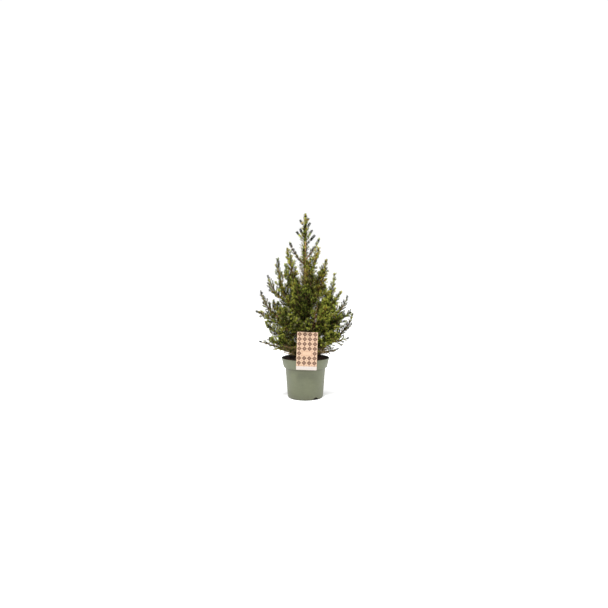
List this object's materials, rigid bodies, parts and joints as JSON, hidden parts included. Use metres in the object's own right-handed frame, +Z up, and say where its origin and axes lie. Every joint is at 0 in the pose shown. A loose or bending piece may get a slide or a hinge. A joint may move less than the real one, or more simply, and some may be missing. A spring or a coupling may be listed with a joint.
{
  "type": "potted alberta spruce",
  "caption": "Young dwarf spruce in a round nursery pot: a straight needled leader over a broad cone of upswept needled boughs, with potting soil and a plain patterned card label.",
  "frame": {"origin": "middle of the pot's flat underside, on the surface that the pot stands on", "axes": "+Z straight up along the trunk; -Y towards the front, where the card label stands; +X to the plant's right as seen from the front"},
  "size_m": [0.3442, 0.2754, 0.65],
  "materials": {
    "pot": "matte sage green injection-moulded plastic",
    "soil": "dark moist potting soil, crumbly",
    "label": "smooth coated card, pale peach with brown discs",
    "bark": "rough flaking orange-brown bark",
    "foliage": "short stiff needles, olive to mid green"
  },
  "bodies": {
    "root": {"pot": "pot", "soil": "soil", "label": "label", "trunk": "bark", "bough_high_back": "bark", "bough_high_front_left": "bark", "bough_high_front_right": "bark", "bough_high_left": "bark", "bough_high_right": "bark", "bough_low_back": "bark", "bough_low_back_left": "bark", "bough_low_front": "bark", "bough_low_front_left": "bark", "bough_low_front_right": "bark", "bough_low_left": "bark", "bough_low_right": "bark", "bough_mid_back": "bark", "bough_mid_back_left": "bark", "bough_mid_back_right": "bark", "bough_mid_front_left": "bark", "bough_mid_front_right": "bark", "bough_mid_left": "bark", "bough_mid_right": "bark", "foliage_high_back": "foliage", "foliage_high_back_left": "foliage", "foliage_high_back_right": "foliage", "foliage_high_front": "foliage", "foliage_high_front_left": "foliage", "foliage_high_front_right": "foliage", "foliage_high_left": "foliage", "foliage_high_right": "foliage", "foliage_inner_front": "foliage", "foliage_leader": "foliage", "foliage_low_back": "foliage", "foliage_low_back_left": "foliage", "foliage_low_back_right": "foliage", "foliage_low_front": "foliage", "foliage_low_front_left": "foliage", "foliage_low_front_right": "foliage", "foliage_low_left": "foliage", "foliage_low_right": "foliage", "foliage_mid_back": "foliage", "foliage_mid_back_left": "foliage", "foliage_mid_back_right": "foliage", "foliage_mid_front_left": "foliage", "foliage_mid_front_right": "foliage", "foliage_mid_left": "foliage", "foliage_mid_right": "foliage", "foliage_spire_back": "foliage", "foliage_spire_far_left": "foliage", "foliage_spire_front": "foliage", "foliage_spire_front_right": "foliage", "foliage_spire_left": "foliage", "foliage_spire_low_right": "foliage", "foliage_spire_right": "foliage", "foliage_spire_upper_right": "foliage", "foliage_top_back": "foliage", "foliage_top_front": "foliage", "foliage_top_left": "foliage", "foliage_top_right": "foliage"}
  },
  "joints": []
}
